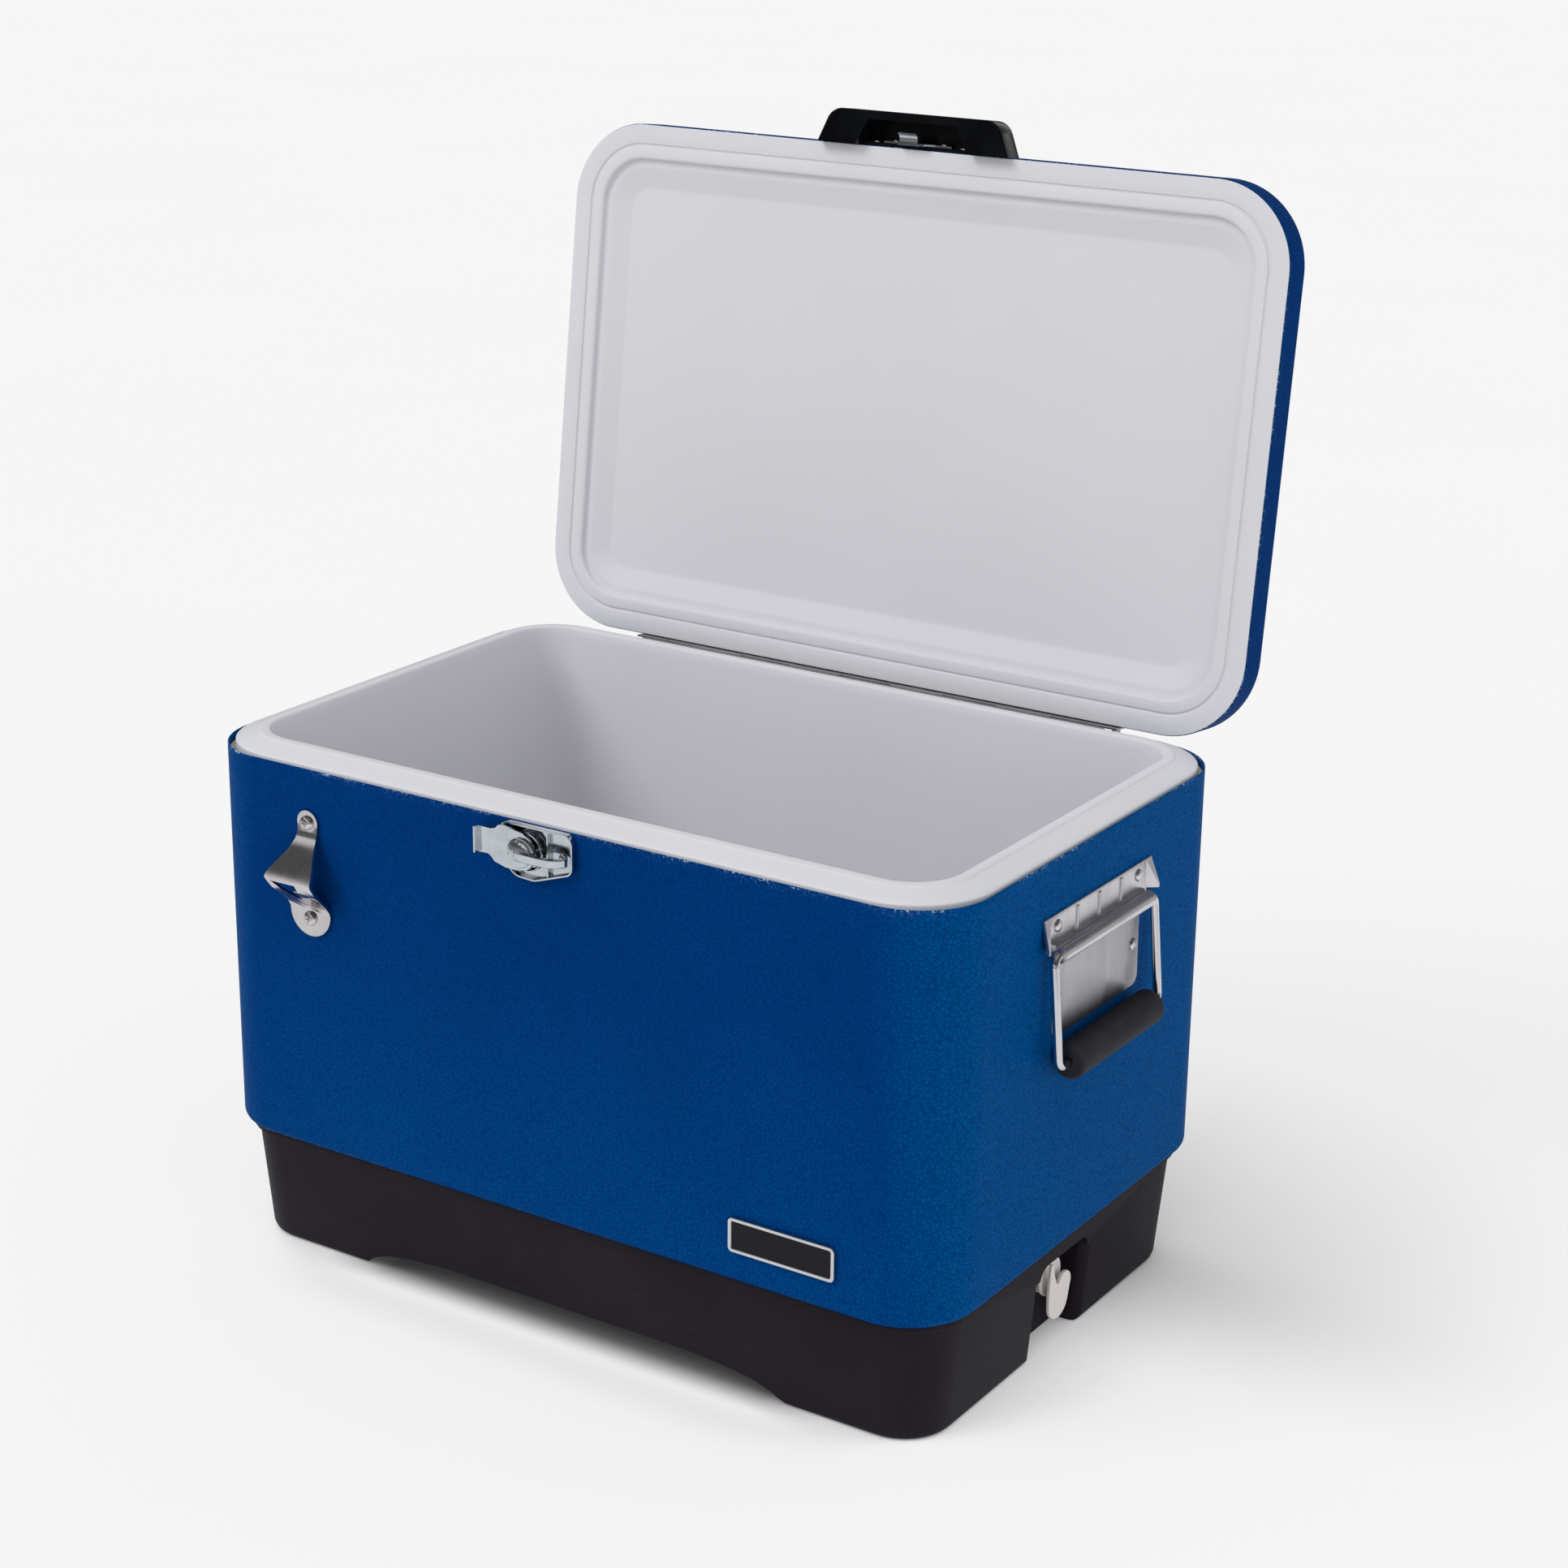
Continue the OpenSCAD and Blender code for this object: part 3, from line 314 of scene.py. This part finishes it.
BLUE = blue_enamel()
WHITE = white_plastic("white_liner", (0.665, 0.668, 0.700), 0.34)
DRAIN = white_plastic("drain_plastic", (0.72, 0.675, 0.66), 0.42, False)
BASE = black_base()
HANDLE = black_handle()
UPRIGHT_BRUSH = (1.0, 1.0, 0.08)
STAINLESS = metal("stainless", (0.70, 0.685, 0.715), 0.24, UPRIGHT_BRUSH, 0.14, 0.05)
RUB_PLATE = metal("rub_plate_steel", (0.50, 0.487, 0.515), 0.24, UPRIGHT_BRUSH, 0.14, 0.09)
OPENER = metal("opener_steel", (0.60, 0.575, 0.59), 0.09, (9.0, 1.0, 0.5), 0.07, 0.05)
ZINC = metal("zinc_plate", (0.50, 0.50, 0.51), 0.32, None, 0.14, 0.08)
CHROME = metal("latch_chrome", (0.58, 0.62, 0.66), 0.04, None, 0.04, 0.10, 0.02, 60.0)
WIRE = metal("wire_chrome", (0.70, 0.69, 0.71), 0.09, (1.0, 1.0, 0.2), 0.08, 0.05)
RIVET = metal("rivet_metal", (0.68, 0.67, 0.69), 0.10, None, 0.10, 0.06)
SCREW = metal("screw_steel", (0.66, 0.63, 0.62), 0.08, None, 0.08, 0.06)
SILVER = metal("badge_border", (0.66, 0.66, 0.67), 0.22, (6.0, 1.0, 1.0), 0.10, 0.05)
GRIP = foam_rubber()
RUBBER = dark_rubber()
FOAM = foam_core()
BADGE = badge_field()


# ---------------------------------------------------------------- pieces
def bevel(obj, width, segments):
    """Rounded edges. The width is in millimetres."""
    mod = obj.modifiers.new("bevel", "BEVEL")
    mod.width = width * MM
    mod.segments = segments
    mod.limit_method = "ANGLE"
    mod.angle_limit = math.radians(BEVEL_ANGLE)
    mod.harden_normals = False


def make(name, verts, faces, mat, body, slot, replaces, angle=SHARP_ANGLE):
    """A mesh piece from points in millimetres."""
    mesh = bpy.data.meshes.new(name)
    mesh.from_pydata([Vector(v) * MM for v in verts], [], faces)
    mesh.validate()
    bm = bmesh.new()
    bm.from_mesh(mesh)
    bmesh.ops.recalc_face_normals(bm, faces=bm.faces)
    bm.to_mesh(mesh)
    bm.free()
    return finish_piece(name, mesh, mat, body, replaces, angle)


def finish_piece(name, mesh, mat, body, replaces, angle):
    """An object for the mesh: smooth, on its body, and in place of the CAD nodes it names."""
    obj = bpy.data.objects.new(name, mesh)
    scene.collection.objects.link(obj)
    mesh.materials.clear()
    mesh.materials.append(mat)
    for p in mesh.polygons:
        p.use_smooth = True
    mesh.set_sharp_from_angle(angle=math.radians(angle))
    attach(obj, body)
    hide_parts(*replaces)
    return obj


def body_of_node(node):
    bodies = frame["record"]["behaviour"]["bodies"]
    return next(b for b, members in bodies.items() if node in members)


WELD = 1e-6         # metres between points that are the same
FLAT_ANGLE = 0.6    # degrees within which neighbouring faces are one


def refine(node, mat, width, angle=SHARP_ANGLE, segments=2):
    """A copy of a CAD node with its seams welded, its edges rounded and its curves smooth.

    A width of 0 leaves the edges as they are, and None leaves the faces as they are too.
    """
    mesh = frame["nodes"][node].data.copy()
    bm = bmesh.new()
    bm.from_mesh(mesh)
    bmesh.ops.remove_doubles(bm, verts=bm.verts, dist=WELD)
    if width is not None:
        bmesh.ops.dissolve_limit(bm, angle_limit=math.radians(FLAT_ANGLE),
                                 verts=bm.verts, edges=bm.edges)
    bm.to_mesh(mesh)
    bm.free()
    if "custom_normal" in mesh.attributes:
        mesh.attributes.remove(mesh.attributes["custom_normal"])
    obj = finish_piece("fine_" + node, mesh, mat, body_of_node(node),
                       [node], angle)
    if width:
        bevel(obj, width, segments)
    return obj


CORNER_STEPS = 20
RING_N = 4 * (CORNER_STEPS + 1)


def ring(length, width, r, z):
    """Points round a rectangle with rounded corners, always RING_N of them."""
    points = []
    for quarter in range(4):
        sx = 1 if quarter in (0, 3) else -1
        sy = 1 if quarter < 2 else -1
        for i in range(CORNER_STEPS + 1):
            a = math.radians(quarter * 90 + i * 90 / CORNER_STEPS)
            points.append((sx * (length / 2 - r) + r * math.cos(a),
                           sy * (width / 2 - r) + r * math.sin(a), z))
    return points


def loft(sections, close=False, cap_end=False, length=SHELL_L):
    """Points and faces through sections of (height, inset, corner radius)."""
    verts = [p for z, inset, r in sections
             for p in ring(length - 2 * inset, SHELL_W - 2 * inset, r, z)]
    last = len(sections) - 1
    faces = []
    for k in range(len(sections) if close else last):
        a, b = k * RING_N, ((k + 1) % len(sections)) * RING_N
        for i in range(RING_N):
            j = (i + 1) % RING_N
            faces.append((a + i, a + j, b + j, b + i))
    if cap_end:
        faces.append(tuple(last * RING_N + i for i in range(RING_N)))
    return verts, faces


def open_lid(verts):
    """Points of the closed lid, swung open about the hinge."""
    turn = Matrix.Rotation(-LID_OPEN, 3, "X")
    pivot = Vector((0, AXIS_Y, AXIS_Z))
    return [turn @ (Vector(v) - pivot) + pivot for v in verts]


def mark_wear_and_glint(obj, value_of_ring):
    """How much edge wear and painted glint the enamel shows, from 0 to 1, by the piece's rings in
    their order.
    """
    layer = obj.data.attributes.new("edge_wear_and_glint", "FLOAT", "POINT")
    count = len(obj.data.vertices)
    layer.data.foreach_set("value", [value_of_ring(i // RING_N) for i in range(count)])


# Steel belt with its lower edge turned in and a folded top edge
BELT = [(BASE_H + 0.2, 7.0, 45), (BASE_H, 6.3, 45.7), (BASE_H + 0.3, 5.2, 46.8),
        (BASE_H + 1.6, 3.2, 48.8), (BASE_H + 3.4, 1.3, 50.7), (BASE_H + 5.2, 0.35, 51.7),
        (BASE_H + 7.0, 0, 52), (BASE_H + 60, 0, 52), (BASE_H + 140, 0, 52), (BASE_H + 220, 0, 52),
        (BELT_TOP - 6, 0, 52), (BELT_TOP - 1.6, 0, 52), (BELT_TOP - 0.5, 0.12, 51.9),
        (BELT_TOP, 0.55, 51.5), (BELT_TOP - 0.3, 1.0, 51), (BELT_TOP - 2, 1.15, 50.9),
        (BELT_TOP - 40, 1.15, 50.9), (BASE_H + 8, 1.15, 50.9), (BASE_H + 2.4, 3.9, 48.1)]
belt = make("steel_belt", *loft(BELT, close=True), BLUE, "chest", "blue_steel", ["body_shell"])


# Wear and painted glint on the belt's folded top edge and its foot
def belt_wear_and_glint(k):
    z = BELT[k][0]
    if z > BELT_TOP - 1:
        return 0.9
    if z > BELT_TOP - 3:
        return 0.12
    return 0.15 if z < BASE_H + 4 else 0.0


mark_wear_and_glint(belt, belt_wear_and_glint)

# Moulded white pieces keep a crisper edge than steel
MOULDED_SHARP = 30

# White tub with its rim: skirt, slope, riser, flat top, then the walls down to the floor
TUB = [(366, 2.8, 56), (BELT_TOP + 0.2, 2.7, 56), (BELT_TOP + 1.2, 2.9, 55.8),
       (BELT_TOP + 1.9, 3.6, 55), (BELT_TOP + 2.5, 5.0, 54), (BELT_TOP + 4.6, 11.4, 48.4),
       (BELT_TOP + 6.6, 16.9, 43.5), (BELT_TOP + 6.9, 17.7, 43), (BELT_TOP + 7.4, 18.2, 42.6),
       (RIM_TOP - 0.15, 18.9, 42.2), (RIM_TOP, 19.6, 41.8), (RIM_TOP, 22.5, 39),
       (RIM_TOP, 24.4, 36.6), (RIM_TOP - 0.25, 25.3, 35.4), (RIM_TOP - 0.9, 26.0, 34.4),
       (RIM_TOP - 2.2, 26.6, 33.6), (RIM_TOP - 8, 27.6, 33), (320, 31.0, 33.2), (240, 36.1, 33.6),
       (160, 41.0, 34), (90, 44.6, 34), (52, 46.4, 34), (44, 47.0, 33.6), (38, 48.4, 32),
       (34, 50.8, 29.6), (31.8, 54.0, 26.4), (31, 58.0, 24)]
make("white_tub", *loft(TUB, cap_end=True), WHITE, "chest", "white_liner", ["liner_tub"],
     MOULDED_SHARP)

# Lid skin: rolled lower edge, straight side, rounded shoulder, flat top
TOP = LID_Z + LID_T
SHOULDER = 6
SKIN = [(LID_Z + 3, 1.2, 58.8), (LID_Z + 1.2, 1.1, 58.9), (LID_Z + 1, 0.6, 59.4),
        (LID_Z + 1.3, 0.12, 59.9), (LID_Z + 2.2, 0, 60), (LID_Z + 12, 0, 60), (LID_Z + 23.5, 0, 60)]
for a in map(math.radians, (12, 26, 40, 54, 68, 80)):
    drawn_in = SHOULDER - SHOULDER * math.cos(a)
    SKIN.append((TOP - SHOULDER + SHOULDER * math.sin(a), drawn_in, 60 - drawn_in))
SKIN += [(TOP, 6.6, 53.4), (TOP, 12, 48), (TOP, 40, 30)]
# Wear and painted glint on the lid's rolled lower edge
SKIN_WEAR_AND_GLINT = (0.9, 0.9, 1.0, 1.0, 0.10)
verts, faces = loft(SKIN, cap_end=True, length=LID_L)
skin = make("lid_skin", open_lid(verts), faces, BLUE, "lid", "blue_steel", ["lid_shell"])
mark_wear_and_glint(skin, lambda k: SKIN_WEAR_AND_GLINT[k] if k < len(SKIN_WEAR_AND_GLINT) else 0.0)


# Lid liner: flange with a pressed groove, rounded step, ledge, slope and flat panel
LINER = [(LID_Z + depth, inset, r) for depth, inset, r in (
    (2.6, 1.5, 58.5), (0.9, 1.4, 58.6), (0.8, 0.6, 59.4), (0.3, 0.6, 59.4), (0.05, 0.95, 59),
    (0, 1.8, 58.2), (0, 8, 52), (0, 13.6, 46.6), (0.2, 14.2, 46), (1.0, 14.8, 45.4),
    (1.2, 15.4, 44.8), (1.0, 16.0, 44.2), (0.2, 16.6, 43.6), (0.0, 17.2, 43), (0, 23.4, 37.4),
    (0.2, 24.6, 36.4), (0.9, 25.5, 35.7), (2.6, 26.0, 35.2), (3.7, 26.4, 34.8), (4.1, 27.4, 34),
    (4.2, 30.6, 31), (4.3, 32.4, 29.4), (4.7, 33.4, 28.4), (8.5, 46.2, 17), (8.9, 47.3, 16),
    (9, 48.6, 15), (9, 52, 12.6))]
verts, faces = loft(LINER, cap_end=True, length=LID_L)
make("lid_liner_face", open_lid(verts), faces, WHITE, "lid", "white_liner", ["lid_liner"],
     MOULDED_SHARP)

# The other visible nodes keep their CAD shape, with the width of their rounded edges
refine("base_pan", BASE, 1.3, MOULDED_SHARP, 3)
for node, mat, width in [
        ("drain_fitting", DRAIN, 0.3), ("drain_nut", DRAIN, 0.4), ("drain_plug", DRAIN, 0.6),
        ("hinge_body_leaf", ZINC, None), ("hinge_lid_leaf", ZINC, 0.25), ("hinge_pin", ZINC, 0.2),
        ("hinge_body_rivets", RIVET, 0), ("hinge_lid_rivets", RIVET, 0),
        ("lid_handle", HANDLE, 1.0), ("lid_handle_screws", SCREW, 0.1),
        ("latch_keeper", CHROME, 0.35), ("keeper_screws", SCREW, 0.1),
        ("latch_base", CHROME, 0.35), ("latch_rivets", RIVET, 0), ("latch_spring", CHROME, 0),
        ("latch_stud", CHROME, 0.2), ("latch_lever", CHROME, 0.4), ("latch_hook", CHROME, 0.7),
        ("bottle_opener", OPENER, 0.5), ("opener_screws", SCREW, 0.12)]:
    refine(node, mat, width)
for side in ("right", "left"):
    for node, mat, width in [("bracket_", STAINLESS, 0.35), ("backplate_", RUB_PLATE, 0.3),
                             ("bracket_rivets_", RIVET, 0), ("bail_", WIRE, 0),
                             ("grip_", GRIP, 0.6)]:
        refine(node + side, mat, width)

# Hidden nodes show only through gaps, so they take a material as they are
for node, mat in [("body_foam", FOAM), ("lid_foam", FOAM), ("drain_gasket", RUBBER),
                  ("plug_seal", RUBBER), ("badge_pad", RUBBER)]:
    holder = frame["nodes"][node].data
    holder.materials.clear()
    holder.materials.append(mat)


# Badge: silver border standing up round a plain black field
BORDER_RISE = 0.2 * MM
badge = refine("badge_plate", SILVER, 0.35)
badge.data.materials.append(BADGE)
fronts = [p for p in badge.data.polygons if p.normal.y < -0.9]
field_y = max(p.center.y for p in fronts)
for p in fronts:
    if p.center.y > field_y - BORDER_RISE:
        p.material_index = 1


# ---------------------------------------------------------------- floor and light
FLOOR_GLOW = 0.725
NEAR_REACH, WIDE_REACH = 0.14, 0.34     # metres


def floor_material():
    """White sweep that glows. Painted shade darkens it close under things, and it is painted darker
    away from the chest in mirror views.
    """
    n = Nodes("floor")
    n.base(Roughness=0.9, Specular_IOR_Level=0.0, Emission_Strength=1.0)
    n.drive("Base Color", n.mix(n.noise(1.5, 2.0), grey(0.195), grey(0.205)))

    def openness(reach):
        node = n.add("ShaderNodeAmbientOcclusion", {"Distance": reach}, samples=4)
        return node.outputs["AO"]

    def inverse(value):
        return n.math("SUBTRACT", 1.0, value)

    near, wide = openness(NEAR_REACH), openness(WIDE_REACH)
    x, y = n.axis(n.coords, "X"), n.axis(n.coords, "Y")
    across, along = n.math("ABSOLUTE", x), n.math("ABSOLUTE", y)
    # Soft shade behind the chest, on the side away from the key light
    lee = n.math("MULTIPLY", n.span(x, 0.06, 0.22), n.span(y, -0.02, 0.16, smooth=True))
    lee = n.math("MULTIPLY", lee, n.span(wide, 0.50, 0.97, 0.62, 0.0))
    # Painted shadow: dark under the two hand scoops, and a thin dark line of shade round the rest
    # of the base
    arch = n.math("MULTIPLY", n.span(across, 0.16, 0.21, 1.0, 0.0),
                  n.span(along, 0.19, 0.21, 1.0, 0.0))
    arch_shadow = n.span(along, 0.165, 0.197, 0.03, 1.0, smooth=True)
    rest = n.span(near, 0.10, 0.45, 0.06, 1.0)
    under = n.math("ADD", n.math("MULTIPLY", arch, arch_shadow),
                   n.math("MULTIPLY", inverse(arch), rest))
    open_sky = n.math("MULTIPLY", under, inverse(lee))
    # Mirror-like metals see the far floor dark
    range_out = n.add("ShaderNodeVectorMath", {0: n.coords}, operation="LENGTH").outputs["Value"]
    away = n.span(range_out, 1.25, 2.2, 1.0, 0.10)
    mirrored = n.add("ShaderNodeLightPath").outputs["Is Glossy Ray"]
    dim = n.math("ADD", n.math("MULTIPLY", mirrored, away), inverse(mirrored))
    glow = n.math("MULTIPLY", n.math("MULTIPLY", open_sky, dim), FLOOR_GLOW)
    n.drive("Emission Color", n.mix(glow, grey(0), grey(1)))
    return n.mat


FLOOR_SIZE, FLOOR_DROP = 60, 0.0004     # metres
bpy.ops.mesh.primitive_plane_add(size=FLOOR_SIZE, location=(0, 0, -FLOOR_DROP))
floor = bpy.context.object
floor.name = "floor"
floor.data.materials.append(floor_material())


def far_light(name, toward, power, spread):
    """A soft sun shining along a direction. Its spread is in degrees."""
    data = bpy.data.lights.new(name, "SUN")
    data.energy = power
    data.angle = math.radians(spread)
    lamp = bpy.data.objects.new(name, data)
    scene.collection.objects.link(lamp)
    lamp.visible_glossy = False
    lamp.rotation_mode = "QUATERNION"
    lamp.rotation_quaternion = Vector(toward).to_track_quat("-Z", "Y")


def studio():
    """White room. Mirror-like metals see it in light and dark bands."""
    world = bpy.data.worlds.new("studio")
    scene.world = world
    world.use_nodes = True
    tree = world.node_tree
    back = tree.nodes["Background"]
    coords = tree.nodes.new("ShaderNodeTexCoord")
    split = tree.nodes.new("ShaderNodeSeparateXYZ")
    tree.links.new(coords.outputs["Generated"], split.inputs[0])
    path = tree.nodes.new("ShaderNodeLightPath")

    def ramp(value, *stops):
        node = tree.nodes.new("ShaderNodeValToRGB")
        tree.links.new(value, node.inputs[0])
        marks = node.color_ramp.elements
        while len(marks) < len(stops):
            marks.new(0.5)
        for mark, (at, tone) in zip(marks, stops):
            mark.position, mark.color = at, rgb(tone, tone, tone * 1.01)
        return node.outputs[0]

    def choose(ray, otherwise):
        """A mix that shows one thing to this kind of ray and another to the rest."""
        node = tree.nodes.new("ShaderNodeMix")
        node.data_type = "RGBA"
        tree.links.new(path.outputs[ray], node.inputs[0])
        tree.links.new(otherwise, node.inputs[6])
        return node

    plain = ramp(split.outputs["Z"], (0.0, 0.62), (0.25, 0.52), (0.55, 0.72), (1.0, 0.80))
    lean = tree.nodes.new("ShaderNodeMath")
    lean.operation = "MULTIPLY_ADD"
    tree.links.new(split.outputs["X"], lean.inputs[0])
    lean.inputs[1].default_value = 0.35
    tree.links.new(split.outputs["Z"], lean.inputs[2])
    bands = ramp(lean.outputs[0], (0.0, 0.14), (0.07, 0.12), (0.15, 0.95), (0.28, 1.0),
                 (0.37, 0.12), (0.72, 0.07), (0.84, 0.10), (1.0, 0.30))
    mirrored = choose("Is Glossy Ray", plain)
    tree.links.new(bands, mirrored.inputs[7])
    # Straight to the camera the sky is as white as the floor, so no horizon shows
    seen = choose("Is Camera Ray", mirrored.outputs[2])
    seen.inputs[7].default_value = grey(1.02)
    tree.links.new(seen.outputs[2], back.inputs["Color"])
    back.inputs["Strength"].default_value = 0.90


studio()
far_light("key", (0.50, 0.70, -0.85), 1.35, 30)
far_light("side fill", (-0.90, 0.28, -0.12), 0.60, 50)
